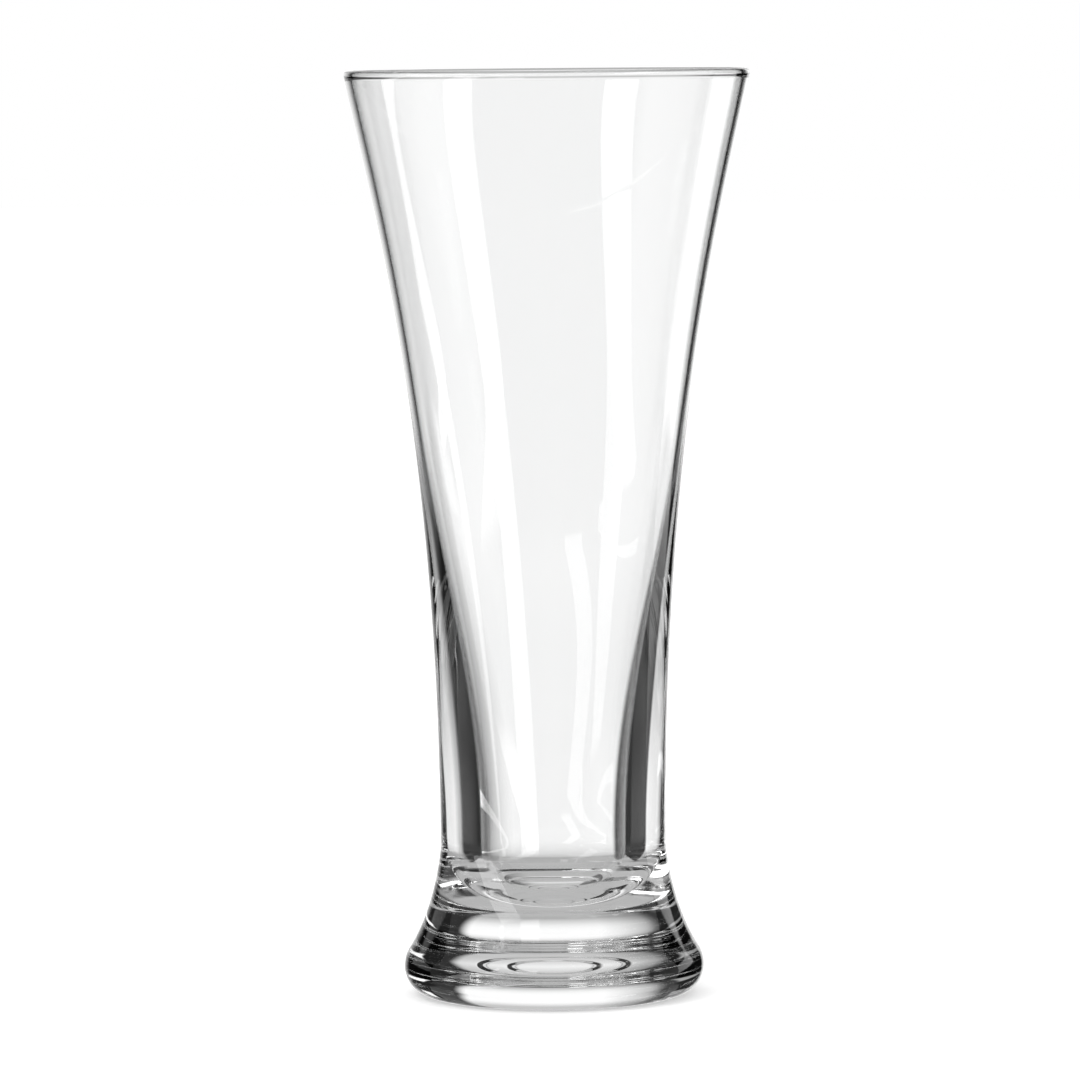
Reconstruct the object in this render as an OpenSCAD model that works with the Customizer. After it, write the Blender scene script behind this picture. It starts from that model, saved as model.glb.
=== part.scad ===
// Pilsner glass: a tall flared beer glass with a thin bowl and a heavy clear foot.
// The glass is one rigid piece, split into the rim, the bowl and the foot, which meet face to face.
// The origin is at the middle of the foot, on the table, with +Z up the glass.

/* [Bowl] */
// Height of the glass, from the table to the top of the rim
glass_h = 184; // [150:1:230]
// Outside diameter at the rim, the widest place
rim_d = 80.4; // [70:0.2:96]
// How far the side leans out from upright at the rim, in degrees
rim_lean = 11.7; // [7:0.1:16]
// Outside diameter at the waist, the narrowest place
waist_d = 44.9; // [40:0.1:54]
// Height of the waist above the table
waist_z = 30; // [29:0.5:42]

/* [Wall] */
// Thickness of the thin upper wall, measured level
thin_wall = 1.35; // [1:0.05:1.4]
// Thickness of the heavy wall at the waist
heavy_wall = 7.9; // [4:0.1:9]
// Height at which the heavy wall has thinned down to the upper wall
thin_from_z = 134; // [90:1:160]

/* [Rim] */
// Thickness of the rounded bead that fire polishing leaves at the rim
bead_d = 1.6; // [1.45:0.05:2.6]
// Height of the rim, from the top down to where the plain wall begins
rim_h = 4; // [3:0.5:10]

/* [Floor] */
// Height of the middle of the inside floor above the table
floor_z = 16.4; // [14:0.1:22]
// Thickness of glass under the floor that belongs to the bowl
floor_t = 4; // [2:0.5:6]

/* [Foot] */
// Diameter of the foot at its widest place
foot_d = 59.7; // [54:0.1:76]
// Height of the widest place of the foot
heel_h = 5.7; // [4:0.1:7]
// How far the rounded heel curves in to the bearing ring
heel_in = 5.8; // [4:0.1:8]
// Height of the shoulder, where the rounded heel turns into the flare
shoulder_z = 9.3; // [8:0.1:12]
// How far the shoulder lies inside the widest place
shoulder_in = 1; // [0.6:0.1:2]
// How far the side leans in from upright at the shoulder, in degrees
shoulder_lean = 32.5; // [24:0.5:38]

/* [Underside] */
// Width of the flat bearing ring that stands on the table
bearing_w = 2; // [1:0.1:4]
// Height of the hollow under the foot at its middle
hollow_h = 0.8; // [0.6:0.1:3]
// Number of raised rings in the hollow
ring_count = 2; // [1:1:3]
// Radius of the smallest ring, at the middle of its width
ring_r = 5.9; // [4:0.1:7]
// Distance from one ring to the next
ring_pitch = 3.95; // [3:0.05:5]
// Width of one ring
ring_w = 1.5; // [1:0.1:2]
// Depth of one ring, down from the hollow
ring_depth = 0.4; // [0.1:0.05:0.45]

/* [Hidden] */

// Cuts run past the glass by this much
overrun = 1;
// Sides of a full turn, and steps along one curve of an outline
$fn = 180;
long_steps = 40;
short_steps = 14;
bead_steps = 18;

// Handles of the outline's curves, as shares of the distance between their two ends
shoulder_share = 0.35;
flare_low_share = 0.45;
flare_high_share = 0.06;
bowl_low_share = 0.54;
bowl_high_share = 0.17;
// Handles of the round bottom inside, as shares of its radius and of its height
bottom_flat_share = 0.45;
bottom_steep_share = 0.9;

rim_r = rim_d / 2;
waist_r = waist_d / 2;
foot_r = foot_d / 2;
bead_r = bead_d / 2;
cavity_r = waist_r - heavy_wall;
rim_z = glass_h - rim_h;
foot_top_z = floor_z - floor_t;
hollow_r = foot_r - heel_in - bearing_w;

// Unit direction that leans out from upright by an angle, as [radius, height]
function leaning(angle) = [sin(angle), cos(angle)];

// A point of a curve with four guide points, and the points that follow its first one
function on_curve(a, b, c, d, t) =
    pow(1 - t, 3) * a + 3 * pow(1 - t, 2) * t * b + 3 * (1 - t) * pow(t, 2) * c + pow(t, 3) * d;
function curve(a, b, c, d, steps) = [for (i = [1 : steps]) on_curve(a, b, c, d, i / steps)];

// A curve from one place to another that leaves and arrives in given directions
function blend(from, to, from_dir, to_dir, from_share, to_share, steps) =
    let (span = norm(to - from))
    curve(from, from + from_share * span * from_dir, to - to_share * span * to_dir, to, steps);

// Outside of the glass, from the bearing ring up to where the bead begins
bead_middle = [rim_r - bead_r, glass_h - bead_r];
bead_start = bead_middle + bead_r * [cos(rim_lean), -sin(rim_lean)];
shoulder = [foot_r - shoulder_in, shoulder_z];
heel_line = [for (i = [0 : short_steps]) let (turn = 90 * i / short_steps)
    [foot_r - heel_in + heel_in * sin(turn), heel_h - heel_h * cos(turn)]];
shoulder_line = blend([foot_r, heel_h], shoulder, leaning(0), leaning(-shoulder_lean),
    shoulder_share, shoulder_share, short_steps);
flare_line = blend(shoulder, [waist_r, waist_z], leaning(-shoulder_lean), leaning(0),
    flare_low_share, flare_high_share, short_steps);
side_line = blend([waist_r, waist_z], bead_start, leaning(0), leaning(rim_lean),
    bowl_low_share, bowl_high_share, long_steps);

// The bead, round to the neck inside, where it stands out from the wall
neck_turn = 180 + acos(thin_wall * cos(rim_lean) / bead_r - 1);
bead_line = [for (i = [1 : bead_steps]) let (turn = neck_turn * i / bead_steps - rim_lean)
    bead_middle + bead_r * [cos(turn), sin(turn)]];
neck = bead_line[bead_steps - 1];

// Thickness of the wall at a height: heavy at the waist, thinning without a break to the upper wall
function wall_at(z) = let (u = min(1, (z - waist_z) / (thin_from_z - waist_z)))
    thin_wall + (heavy_wall - thin_wall) * pow(1 - u * u, 4);

// Inside of the glass: a round bottom up to the waist, then the wall up to the neck
bottom_line = curve([0, floor_z], [bottom_flat_share * cavity_r, floor_z],
    [cavity_r, waist_z - bottom_steep_share * (waist_z - floor_z)], [cavity_r, waist_z], long_steps);
inner_line = [for (p = side_line) if (p[1] < neck[1]) [p[0] - wall_at(p[1]), p[1]]];

// Height of the underside at a radius: a shallow dome with raised rings
function ring_drop(r) = ring_depth * max([for (i = [0 : ring_count - 1])
    let (off = abs(r - ring_r - i * ring_pitch) / (ring_w / 2)) off < 1 ? pow(cos(90 * off), 2) : 0]);
function hollow_at(r) = hollow_h * (1 - pow(r / hollow_r, 2)) - ring_drop(r);
hollow_steps = 110;
hollow_line = [for (i = [0 : hollow_steps]) let (r = hollow_r * i / hollow_steps) [r, hollow_at(r)]];

// Section of the solid outside shape, filled to the axis
module outside_shape() {
    polygon(concat([[0, 0]], heel_line, shoulder_line, flare_line, side_line,
        bead_line, [[0, neck[1]]]));
}

// Section of the space inside the glass
module inside_shape() {
    polygon(concat([[0, floor_z]], bottom_line, inner_line, [neck], [[0, neck[1]]]));
}

// Section of the hollow under the foot
module hollow_shape() {
    polygon(concat([[0, -overrun]], hollow_line, [[hollow_r, -overrun]]));
}

// A level slice of a section, between two heights
module slice(low, high) {
    intersection() {
        children();
        translate([0, low]) square([max(rim_r, foot_r) + overrun, high - low]);
    }
}

// The fire-polished lip: a rounded bead that stands out inside, on top of the plain wall
module rim() {
    color([0.80, 0.88, 0.88, 0.45]) rotate_extrude() difference() {
        slice(rim_z, glass_h) outside_shape();
        inside_shape();
    }
}

// The flared cup: thin at the top, heavy at the waist, with its own floor
module bowl() {
    color([0.86, 0.92, 0.92, 0.35]) rotate_extrude() difference() {
        slice(foot_top_z, rim_z) outside_shape();
        inside_shape();
    }
}

// The heavy clear foot: a flare, a rounded heel, a flat bearing ring and a shallow hollow with rings
module foot() {
    color([0.74, 0.84, 0.84, 0.55]) rotate_extrude() difference() {
        slice(0, foot_top_z) outside_shape();
        hollow_shape();
    }
}

rim();
bowl();
foot();
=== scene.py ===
import bpy
import math
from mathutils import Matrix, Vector


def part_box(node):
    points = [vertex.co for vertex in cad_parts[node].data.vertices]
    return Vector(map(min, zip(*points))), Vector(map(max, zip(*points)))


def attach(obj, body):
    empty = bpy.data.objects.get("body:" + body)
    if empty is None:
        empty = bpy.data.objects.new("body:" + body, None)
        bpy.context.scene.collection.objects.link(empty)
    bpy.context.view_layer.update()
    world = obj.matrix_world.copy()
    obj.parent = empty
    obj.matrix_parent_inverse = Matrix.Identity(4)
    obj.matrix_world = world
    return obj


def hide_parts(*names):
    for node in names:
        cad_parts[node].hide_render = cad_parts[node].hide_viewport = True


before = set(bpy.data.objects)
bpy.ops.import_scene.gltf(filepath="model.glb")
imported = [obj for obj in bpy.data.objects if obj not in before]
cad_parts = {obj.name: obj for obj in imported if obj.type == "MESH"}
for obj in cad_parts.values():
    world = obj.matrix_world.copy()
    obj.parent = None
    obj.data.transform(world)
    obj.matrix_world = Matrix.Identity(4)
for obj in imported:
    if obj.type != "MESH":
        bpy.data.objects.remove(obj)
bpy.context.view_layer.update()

# Glass
# The real glass is one piece of clear soda-lime glass, formed hot in a mould: a thin flared bowl
# whose wall swells down to a narrow waist, on a heavy solid foot with a shallow hollow under it.
rim_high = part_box("rim")[1]
foot_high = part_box("foot")[1]
glass_h = rim_high.z
rim_r = rim_high.x
foot_r = foot_high.x
rim_lean = math.radians(11.7)
waist_r = 0.02245
waist_z = 0.030
thin_wall = 0.00135
heavy_wall = 0.0079
thin_from_z = 0.134
bead_r = 0.0008
floor_z = 0.0164
heel_h = 0.0057
heel_in = 0.0058
shoulder_z = 0.0093
shoulder_in = 0.001
shoulder_lean = math.radians(32.5)
bearing_w = 0.002
hollow_h = 0.0008
ring_radii = (0.0059, 0.00985)
ring_w = 0.0015
ring_depth = 0.0004
hollow_r = foot_r - heel_in - bearing_w
cavity_r = waist_r - heavy_wall

# Handles of the outline's curves, as shares of the distance between their two ends
shoulder_share = 0.35
flare_low_share = 0.45
flare_high_share = 0.06
bowl_low_share = 0.54
bowl_high_share = 0.17
# Handles of the round bottom inside, as shares of its radius and of its height
bottom_flat_share = 0.45
bottom_steep_share = 0.9

# Steps along each curve of the outline and round the glass
hollow_steps = 90
heel_steps = 16
shoulder_steps = 14
flare_steps = 24
side_steps = 100
bead_steps = 24
bottom_steps = 40
turn_steps = 240
quarter_turn = math.pi / 2
full_turn = 2 * math.pi
same_point = 1e-7
seam_gap = 1e-6


def leaning(angle):
    """Unit direction in the section, as radius and height, that leans out from upright."""
    return Vector((math.sin(angle), math.cos(angle)))


def curve(a, b, c, d, steps):
    """Points of a curve with four guide points, without its first point."""
    points = []
    for i in range(1, steps + 1):
        t = i / steps
        points.append((1 - t) ** 3 * a + 3 * (1 - t) ** 2 * t * b + 3 * (1 - t) * t * t * c + t ** 3 * d)
    return points


def blend(start, end, start_lean, end_lean, start_share, end_share, steps):
    """A curve that leaves and arrives at the given leans."""
    span = (end - start).length
    return curve(start, start + leaning(start_lean) * span * start_share,
                 end - leaning(end_lean) * span * end_share, end, steps)


def wall_at(z):
    """Thickness of the wall: heavy at the waist, thinning without a break to the upper wall."""
    u = min(1.0, (z - waist_z) / (thin_from_z - waist_z))
    return thin_wall + (heavy_wall - thin_wall) * (1 - u * u) ** 4


def hollow_at(r):
    """Height of the underside at a radius: a shallow dome, with rings that stand down from it."""
    drop = 0.0
    for ring_r in ring_radii:
        off = abs(r - ring_r) / (ring_w / 2)
        if off < 1:
            drop = ring_depth * math.cos(quarter_turn * off) ** 2
    return hollow_h * (1 - (r / hollow_r) ** 2) - drop


# The outline runs from the middle of the underside out to the heel, up the outside, over the bead
# at the rim, down the inside and in to the middle of the floor
hollow_line = [Vector((hollow_r * i / hollow_steps, hollow_at(hollow_r * i / hollow_steps)))
               for i in range(hollow_steps + 1)]
heel_line = []
for i in range(heel_steps + 1):
    turn = quarter_turn * i / heel_steps
    heel_line.append(Vector((foot_r - heel_in + heel_in * math.sin(turn),
                             heel_h - heel_h * math.cos(turn))))
shoulder = Vector((foot_r - shoulder_in, shoulder_z))
waist = Vector((waist_r, waist_z))
bead_middle = Vector((rim_r - bead_r, glass_h - bead_r))
bead_start = bead_middle + bead_r * Vector((math.cos(rim_lean), -math.sin(rim_lean)))
shoulder_line = blend(Vector((foot_r, heel_h)), shoulder, 0, -shoulder_lean,
                      shoulder_share, shoulder_share, shoulder_steps)
flare_line = blend(shoulder, waist, -shoulder_lean, 0, flare_low_share, flare_high_share, flare_steps)
side_line = blend(waist, bead_start, 0, rim_lean, bowl_low_share, bowl_high_share, side_steps)
neck_turn = math.pi + math.acos(thin_wall * math.cos(rim_lean) / bead_r - 1)
bead_line = []
for i in range(1, bead_steps + 1):
    turn = neck_turn * i / bead_steps - rim_lean
    bead_line.append(bead_middle + bead_r * Vector((math.cos(turn), math.sin(turn))))
neck_z = bead_line[-1].y
inner_line = [Vector((p.x - wall_at(p.y), p.y)) for p in side_line if p.y < neck_z]
inner_line.reverse()
cavity_edge = Vector((cavity_r, waist_z))
bottom_line = curve(cavity_edge,
                    Vector((cavity_r, waist_z - bottom_steep_share * (waist_z - floor_z))),
                    Vector((bottom_flat_share * cavity_r, floor_z)), Vector((0, floor_z)), bottom_steps)
outline = (hollow_line + heel_line + shoulder_line + flare_line + side_line + bead_line
           + inner_line + [cavity_edge] + bottom_line)

# A small plane is merged to one point, drawn out along the outline and spun round the axis
bpy.ops.object.select_all(action="DESELECT")
bpy.ops.mesh.primitive_plane_add(size=bead_r, location=(0, 0, 0))
glass = bpy.context.object
glass.name = "glass"
bpy.ops.object.mode_set(mode="EDIT")
bpy.ops.mesh.merge(type="CENTER")
bpy.ops.transform.translate(value=(outline[0].x, 0, outline[0].y))
here = outline[0]
for point in outline[1:]:
    step = point - here
    if step.length > same_point:
        bpy.ops.mesh.extrude_region_move(TRANSFORM_OT_translate={"value": (step.x, 0, step.y)})
    here = point
bpy.ops.mesh.select_all(action="SELECT")
bpy.ops.mesh.spin(steps=turn_steps, angle=full_turn, center=(0, 0, 0), axis=(0, 0, 1))
bpy.ops.mesh.select_all(action="SELECT")
bpy.ops.mesh.remove_doubles(threshold=seam_gap)
bpy.ops.mesh.normals_make_consistent(inside=False)
bpy.ops.object.mode_set(mode="OBJECT")
bpy.ops.object.shade_smooth()

# Look of the glass: clear and colourless. Its skin is fire-polished, which leaves it very smooth but
# not quite even: a slow ripple from the mould and a fine haze that comes and goes. The hollow underside
# never meets the flame, so it keeps the duller skin of the mould.
glass_ior = 1.52
ripple_scale = 30
ripple_detail = 1
ripple_depth = 0.000002
haze_scale = 22
haze_detail = 3
haze_from = 0.45
haze_full = 0.75
haze_most = 0.005
mould_dullness = 0.04
underside_z = 0.0015
clear_white = (1, 1, 1, 1)
faint_green = (0.994, 0.998, 0.997, 1)
glass_look = bpy.data.materials.new("clear_glass")
glass_look.use_nodes = True
nodes = glass_look.node_tree.nodes
links = glass_look.node_tree.links
shader = nodes["Principled BSDF"]
shader.inputs["Transmission Weight"].default_value = 1
shader.inputs["IOR"].default_value = glass_ior
place = nodes.new("ShaderNodeTexCoord")
ripple = nodes.new("ShaderNodeTexNoise")
ripple.inputs["Scale"].default_value = ripple_scale
ripple.inputs["Detail"].default_value = ripple_detail
links.new(place.outputs["Object"], ripple.inputs["Vector"])
bump = nodes.new("ShaderNodeBump")
bump.inputs["Strength"].default_value = 1
bump.inputs["Distance"].default_value = ripple_depth
links.new(ripple.outputs["Fac"], bump.inputs["Height"])
links.new(bump.outputs["Normal"], shader.inputs["Normal"])
haze = nodes.new("ShaderNodeTexNoise")
haze.inputs["Scale"].default_value = haze_scale
haze.inputs["Detail"].default_value = haze_detail
links.new(place.outputs["Object"], haze.inputs["Vector"])
haze_level = nodes.new("ShaderNodeMapRange")
haze_level.inputs["From Min"].default_value = haze_from
haze_level.inputs["From Max"].default_value = haze_full
haze_level.inputs["To Max"].default_value = haze_most
links.new(haze.outputs["Fac"], haze_level.inputs["Value"])
parts = nodes.new("ShaderNodeSeparateXYZ")
links.new(place.outputs["Object"], parts.inputs[0])
underside = nodes.new("ShaderNodeMapRange")
underside.inputs["From Min"].default_value = underside_z
underside.inputs["From Max"].default_value = underside_z / 2
underside.inputs["To Max"].default_value = mould_dullness
links.new(parts.outputs["Z"], underside.inputs["Value"])
skin = nodes.new("ShaderNodeMath")
skin.operation = "MAXIMUM"
links.new(haze_level.outputs["Result"], skin.inputs[0])
links.new(underside.outputs["Result"], skin.inputs[1])
links.new(skin.outputs[0], shader.inputs["Roughness"])
# A Mix node's sockets for colour are known by their numbers, as its sockets share their names
first_colour, second_colour, mixed_colour = 6, 7, 2
tint = nodes.new("ShaderNodeMix")
tint.data_type = "RGBA"
tint.inputs[first_colour].default_value = clear_white
tint.inputs[second_colour].default_value = faint_green
links.new(ripple.outputs["Fac"], tint.inputs["Factor"])
links.new(tint.outputs[mixed_colour], shader.inputs["Base Color"])
glass.data.materials.append(glass_look)
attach(glass, "root")
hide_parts("rim", "bowl", "foot")

# Camera
# A long lens from a little above the rim, tipped down and very slightly rolled, as the photo shows
# the glass.
camera_distance = 1.3611
camera_height = 0.193
camera_side = -0.00212
camera_pitch = 0.07503
camera_roll = -0.00865
lens = 228.9
sensor_width = 36
sight = 40
bpy.ops.object.camera_add(location=(camera_side, -camera_distance, camera_height),
                          rotation=(quarter_turn - camera_pitch, 0, 0))
camera = bpy.context.object
camera.rotation_euler.rotate_axis("Z", camera_roll)
camera.data.lens = lens
camera.data.sensor_width = sensor_width
camera.data.clip_end = sight
bpy.context.scene.camera = camera
bpy.context.view_layer.update()

# Floor
# A plain white table top that takes the glass's faint shadow. The glass sees the studio's own table
# light and not this plane, and a little glow, for the camera only, brings it up to white.
floor_size = 12
floor_white = (0.8, 0.8, 0.8, 1)
floor_roughness = 0.9
floor_glow = 0.4
glow_white = (1, 1, 1, 1)
bpy.ops.object.select_all(action="DESELECT")
bpy.ops.mesh.primitive_plane_add(size=floor_size, location=(0, 0, 0))
floor = bpy.context.object
floor.name = "floor"
floor.visible_glossy = False
floor.visible_transmission = False
floor_look = bpy.data.materials.new("floor_white")
floor_look.use_nodes = True
nodes = floor_look.node_tree.nodes
links = floor_look.node_tree.links
pale = nodes["Principled BSDF"]
pale.inputs["Base Color"].default_value = floor_white
pale.inputs["Roughness"].default_value = floor_roughness
pale.inputs["Specular IOR Level"].default_value = 0
pale.inputs["Emission Color"].default_value = glow_white
path = nodes.new("ShaderNodeLightPath")
glow = nodes.new("ShaderNodeMath")
glow.operation = "MULTIPLY"
glow.inputs[1].default_value = floor_glow
links.new(path.outputs["Is Camera Ray"], glow.inputs[0])
links.new(glow.outputs[0], pale.inputs["Emission Strength"])
floor.data.materials.append(floor_look)

# Studio dome
# What the clear glass sees all around it: a white panel behind, dark sides, softer light from the front
# corners, the table and the ceiling, and the tall softboxes that draw the white streaks. It rides with
# the camera, as in a studio where the glass turns and the lights stay. Angles are in degrees.
dome_r = 10
dome_z = 0.092
dome_sides = 96
dome_rings = 48
dark = 0.015
# The panel behind, which grows dimmer towards the floor and the ceiling
panel_light = 1.07
panel_half = 44
panel_soft = 3
panel_low = -23
panel_low_soft = 13
panel_low_loss = 0.85
panel_high = 12
panel_high_soft = 12
panel_high_loss = 0.49
# Soft light at the front corners
fill_left = 0.3
fill_left_from = -67
fill_right = 0.43
fill_right_from = 62
fill_end = 120
fill_soft = 6
fill_low = -30
fill_low_soft = 4
# Table and ceiling
table_light = 0.5
table_edge = -28
ceiling_light = 0.5
ceiling_edge = 39
horizon_soft = 3
# A pale card low at the left side
side_light = 0.5
side_card = (67, 100)
side_card_span = (-25, -17)
side_card_soft = 2
# Softbox B is wide, leans away and grows wider downwards, and its low end fades out
softbox_light = 2.6
box_soft = 0.6
box_end_soft = 0.5
box_high_soft = 1
box_b = 23.5
box_b_half = 9
b_leans_below = 7.5
b_leaning = 2.3
b_widens_below = 16
b_widening = 0.35
box_low = (-25, -6)
box_low_soft = 2.5
box_high = (28, 45)
# Softbox A is narrow, and runs on to the left as a low bright edge that falls away
box_a = 51.5
box_a_half = 2
box_a_low = (-6.8, -3)
edge_span = (50, 117)
edge_end_soft = 1
edge_from = -6.5
edge_fall = -0.22
edge_bend = 0.0015
edge_half = 0.1
edge_widening = 0.017
edge_soft = 0.12
# Softbox C stands farther round and leans towards the camera above and below
box_c = 79
box_c_half = 9.7
box_c_span = (-3, 27)
box_c_end_soft = 1
c_leaning_up = -1.4
c_leans_below = 2
c_leaning_down = -2

bpy.ops.object.select_all(action="DESELECT")
bpy.ops.mesh.primitive_uv_sphere_add(segments=dome_sides, ring_count=dome_rings, radius=dome_r,
                                     location=(0, 0, dome_z))
dome = bpy.context.object
dome.name = "studio_dome"
bpy.ops.object.shade_smooth()
dome_look = bpy.data.materials.new("studio_light")
dome_look.use_nodes = True
nodes = dome_look.node_tree.nodes
links = dome_look.node_tree.links
nodes.remove(nodes["Principled BSDF"])


def math_node(operation, a, b=None, c=None):
    """Result of a sum on numbers and sockets, in the material that is being made."""
    node = nodes.new("ShaderNodeMath")
    node.operation = operation
    for socket, value in zip(node.inputs, (a, b, c)):
        if value is None:
            continue
        if isinstance(value, (int, float)):
            socket.default_value = value
        else:
            links.new(value, socket)
    return node.outputs[0]


def rise(value, at, soft):
    """A smooth rise from 0 to 1 round a place."""
    node = nodes.new("ShaderNodeMapRange")
    node.interpolation_type = "SMOOTHSTEP"
    node.inputs["From Min"].default_value = at - soft
    node.inputs["From Max"].default_value = at + soft
    links.new(value, node.inputs["Value"])
    return node.outputs["Result"]


def between(value, low, high, low_soft, high_soft):
    """1 between low and high, 0 outside, with each end as soft as it says."""
    return math_node("SUBTRACT", rise(value, low, low_soft), rise(value, high, high_soft))


def stripe(value, middle, half, soft):
    """1 where the value is within half of the middle, both of which may vary."""
    off = math_node("ABSOLUTE", math_node("SUBTRACT", value, middle))
    return math_node("SUBTRACT", 1.0, rise(math_node("SUBTRACT", off, half), 0, soft))


def past(value, start):
    """How far the value is past its start, and 0 before it."""
    return math_node("MAXIMUM", math_node("SUBTRACT", value, start), 0.0)


def cover(light, mask, value):
    """The light with a value laid over it where the mask is 1."""
    rest = math_node("MULTIPLY", light, math_node("SUBTRACT", 1.0, mask))
    return math_node("ADD", rest, math_node("MULTIPLY", mask, value))


def lit(light, mask, value):
    """The brighter of the light and the mask at a value."""
    return math_node("MAXIMUM", light, math_node("MULTIPLY", mask, value))


def set_in_studio(piece):
    """Only the glass sees the piece, which rides with the camera."""
    piece.visible_camera = False
    piece.visible_diffuse = False
    piece.visible_shadow = False
    piece.parent = camera
    piece.matrix_parent_inverse = camera.matrix_world.inverted()


# Directions as the glass sees them: to the right of straight behind, up from level, down from level,
# and to the left of the direction to the camera
place = nodes.new("ShaderNodeTexCoord")
parts = nodes.new("ShaderNodeSeparateXYZ")
links.new(place.outputs["Object"], parts.inputs[0])
level_squared = math_node("ADD", math_node("POWER", parts.outputs["X"], 2),
                          math_node("POWER", parts.outputs["Y"], 2))
level = math_node("SQRT", level_squared)
right = math_node("DEGREES", math_node("ARCTAN2", parts.outputs["X"], parts.outputs["Y"]))
up = math_node("DEGREES", math_node("ARCTAN2", parts.outputs["Z"], level))
down = math_node("MAXIMUM", math_node("MULTIPLY", up, -1.0), 0.0)
back_x = math_node("MULTIPLY", parts.outputs["X"], -1.0)
back_y = math_node("MULTIPLY", parts.outputs["Y"], -1.0)
left_of_camera = math_node("DEGREES", math_node("ARCTAN2", back_x, back_y))

# Panel, fills and side card
low_part = math_node("SUBTRACT", 1.0, rise(up, panel_low, panel_low_soft))
low_loss = math_node("MULTIPLY", low_part, panel_low_loss)
high_loss = math_node("MULTIPLY", rise(up, panel_high, panel_high_soft), panel_high_loss)
panel_profile = math_node("SUBTRACT", math_node("SUBTRACT", panel_light, low_loss), high_loss)
light = lit(dark, between(right, -panel_half, panel_half, panel_soft, panel_soft), panel_profile)
above_low = rise(up, fill_low, fill_low_soft)
left_fill = between(right, -fill_end, fill_left_from, fill_soft, fill_soft)
light = lit(light, math_node("MULTIPLY", left_fill, above_low), fill_left)
right_fill = between(right, fill_right_from, fill_end, fill_soft, fill_soft)
light = lit(light, math_node("MULTIPLY", right_fill, above_low), fill_right)
side_mask = math_node("MULTIPLY", between(left_of_camera, *side_card, side_card_soft, side_card_soft),
                      between(up, *side_card_span, side_card_soft, side_card_soft))
light = lit(light, side_mask, side_light)

# Softboxes
high_rows = between(up, *box_high, box_high_soft, box_high_soft)
b_middle = math_node("MULTIPLY_ADD", past(down, b_leans_below), b_leaning, box_b)
b_half = math_node("MULTIPLY_ADD", past(down, b_widens_below), b_widening, box_b_half)
b_rows = math_node("ADD", between(up, *box_low, box_low_soft, box_end_soft), high_rows)
b_mask = math_node("MULTIPLY", stripe(left_of_camera, b_middle, b_half, box_soft), b_rows)
light = lit(light, b_mask, softbox_light)
a_rows = math_node("ADD", between(up, *box_a_low, box_end_soft, box_end_soft), high_rows)
a_mask = math_node("MULTIPLY", stripe(left_of_camera, box_a, box_a_half, box_soft), a_rows)
light = lit(light, a_mask, softbox_light)
beyond = math_node("SUBTRACT", left_of_camera, edge_span[0])
edge_slope = math_node("MULTIPLY_ADD", beyond, edge_bend, edge_fall)
edge_middle = math_node("MULTIPLY_ADD", beyond, edge_slope, edge_from)
edge_thick = math_node("MULTIPLY_ADD", beyond, edge_widening, edge_half)
edge_mask = math_node("MULTIPLY", stripe(up, edge_middle, edge_thick, edge_soft),
                      between(left_of_camera, *edge_span, edge_end_soft, edge_end_soft))
light = lit(light, edge_mask, softbox_light)
c_middle = math_node("MULTIPLY_ADD", past(up, 0), c_leaning_up, box_c)
c_middle = math_node("MULTIPLY_ADD", past(down, c_leans_below), c_leaning_down, c_middle)
c_mask = math_node("MULTIPLY", stripe(left_of_camera, c_middle, box_c_half, box_soft),
                   between(up, *box_c_span, box_c_end_soft, box_c_end_soft))
light = lit(light, c_mask, softbox_light)

# Table and ceiling lie over all the rest
table_mask = math_node("SUBTRACT", 1.0, rise(up, table_edge, horizon_soft))
light = cover(light, table_mask, table_light)
light = cover(light, rise(up, ceiling_edge, horizon_soft), ceiling_light)
glowing = nodes.new("ShaderNodeEmission")
links.new(light, glowing.inputs["Strength"])
links.new(glowing.outputs[0], nodes["Material Output"].inputs["Surface"])
dome.data.materials.append(dome_look)
set_in_studio(dome)

# Flags
# Two black cards behind the glass leave an opening in front of the panel, and give clear glass its
# dark edges. The left one begins with a grey scrim, and each has a pale card on it, at the height of
# the bowl.
flag_y = 0.277
flag_half = 0.8
flag_low = -0.25
flag_high = 0.45
flag_middle = (flag_low + flag_high) / 2
opening = (-0.165, 0.133)
opening_soft = (0.03, 0.018)
scrim_low = 0.3
scrim_end = -0.055
card_heights = (0.02, 0.137)
card_soft = 0.015
card_side_soft = 0.02
left_card = -0.245
left_card_light = 0.42
right_card = 0.3
right_card_light = 1.6
right_card_low = 0.03
right_card_fall = -0.19

bpy.ops.object.select_all(action="DESELECT")
bpy.ops.mesh.primitive_plane_add(size=1, location=(0, flag_y, flag_middle),
                                 rotation=(quarter_turn, 0, 0))
flags = bpy.context.object
flags.name = "studio_flags"
flags.scale = (2 * flag_half, flag_high - flag_low, 1)
bpy.ops.object.transform_apply(location=False, rotation=True, scale=True)
flag_look = bpy.data.materials.new("flag_cloth")
flag_look.use_nodes = True
nodes = flag_look.node_tree.nodes
links = flag_look.node_tree.links
nodes.remove(nodes["Principled BSDF"])
place = nodes.new("ShaderNodeTexCoord")
parts = nodes.new("ShaderNodeSeparateXYZ")
links.new(place.outputs["Object"], parts.inputs[0])
across = parts.outputs["X"]
height = math_node("ADD", parts.outputs["Z"], flag_middle)
gap = between(across, *opening, *opening_soft)
scrim = nodes.new("ShaderNodeMapRange")
scrim.inputs["From Min"].default_value = opening[0]
scrim.inputs["From Max"].default_value = scrim_end
scrim.inputs["To Min"].default_value = scrim_low
links.new(across, scrim.inputs["Value"])
clear = math_node("MULTIPLY", gap, scrim.outputs["Result"])
left_side = math_node("SUBTRACT", 1.0, rise(across, left_card, card_side_soft))
left_rows = between(height, *card_heights, card_soft, card_soft)
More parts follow.
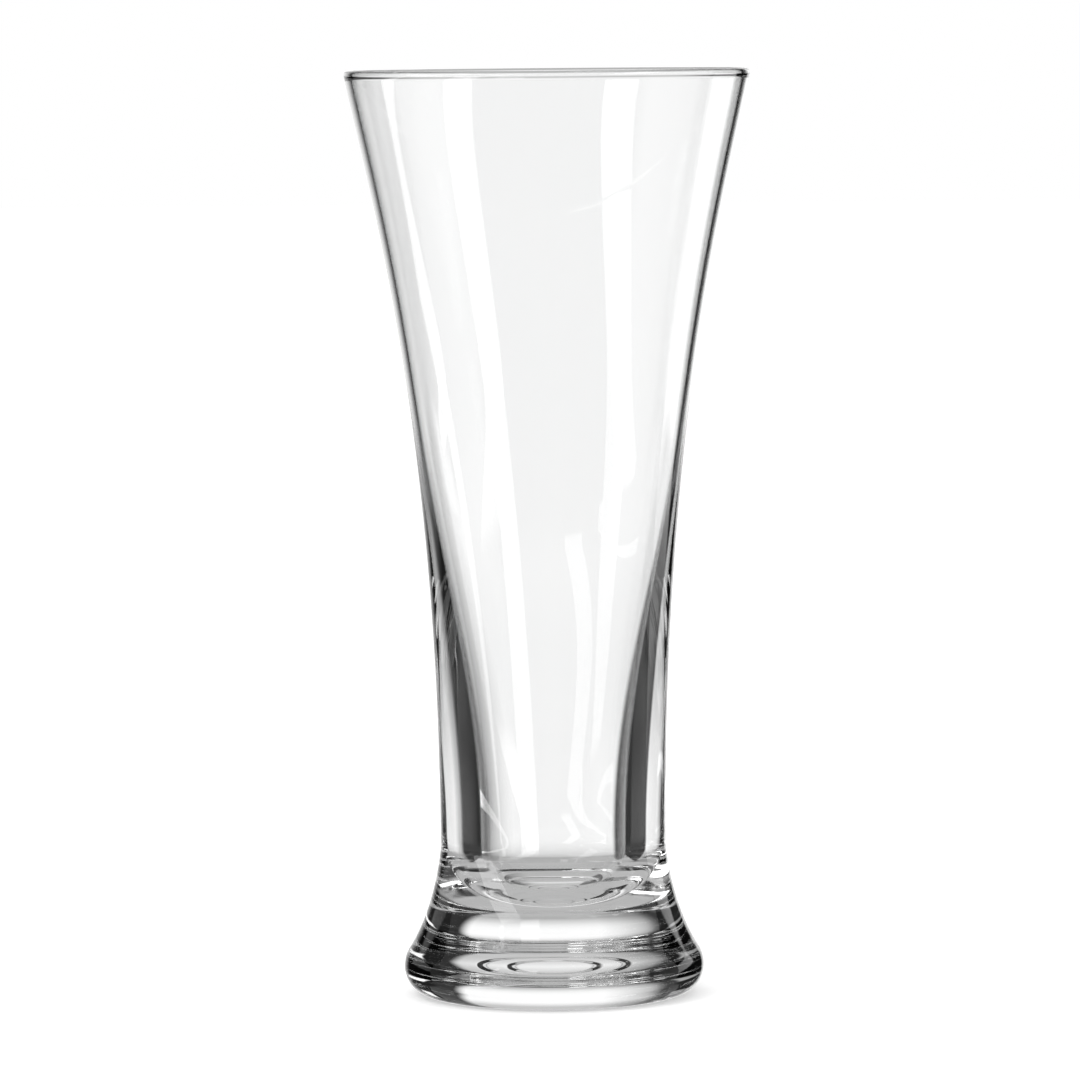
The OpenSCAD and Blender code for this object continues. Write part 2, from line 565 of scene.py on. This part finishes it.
left_glow = math_node("MULTIPLY", math_node("MULTIPLY", left_side, left_card_light), left_rows)
# The right card's lower edge falls away to the right
right_side = rise(across, right_card, card_side_soft)
right_edge = math_node("MULTIPLY_ADD", math_node("SUBTRACT", across, right_card),
                       right_card_fall, right_card_low)
right_rows = math_node("SUBTRACT", rise(math_node("SUBTRACT", height, right_edge), 0, card_soft),
                       rise(height, card_heights[1], card_soft))
right_glow = math_node("MULTIPLY", math_node("MULTIPLY", right_side, right_card_light), right_rows)
cards = math_node("ADD", left_glow, right_glow)
cloth = nodes.new("ShaderNodeEmission")
links.new(math_node("ADD", cards, dark), cloth.inputs["Strength"])
see_through = nodes.new("ShaderNodeBsdfTransparent")
mixed = nodes.new("ShaderNodeMixShader")
links.new(clear, mixed.inputs[0])
links.new(cloth.outputs[0], mixed.inputs[1])
links.new(see_through.outputs[0], mixed.inputs[2])
links.new(mixed.outputs[0], nodes["Material Output"].inputs["Surface"])
flags.data.materials.append(flag_look)
set_in_studio(flags)

# Lamp and white surround
# One soft lamp high at the left, which the glass doesn't mirror, gives the faint shadow on the floor.
# The camera sees plain white all round.
lamp_place = Vector((-0.8, -0.9, 1.4))
lamp_aim = Vector((0, 0, 0.08))
lamp_power = 6
lamp_size = 0.6
surround_white = (1, 1, 1, 1)
surround_light = 1
bpy.ops.object.light_add(type="AREA", location=lamp_place)
lamp = bpy.context.object
lamp.data.energy = lamp_power
lamp.data.size = lamp_size
lamp.rotation_euler = (lamp_aim - lamp.location).to_track_quat("-Z", "Y").to_euler()
lamp.visible_glossy = False
lamp.visible_transmission = False
world = bpy.data.worlds.new("white_room")
bpy.context.scene.world = world
world.use_nodes = True
backdrop = world.node_tree.nodes["Background"]
backdrop.inputs["Color"].default_value = surround_white
backdrop.inputs["Strength"].default_value = surround_light

# Light is followed through few bounces for clear glass, which keeps the foot dark at its sides and calm
light_bounces = 12
settings = bpy.context.scene
settings.view_settings.view_transform = "Standard"
settings.cycles.max_bounces = light_bounces
settings.cycles.transmission_bounces = light_bounces
settings.cycles.glossy_bounces = light_bounces
settings.cycles.transparent_max_bounces = light_bounces
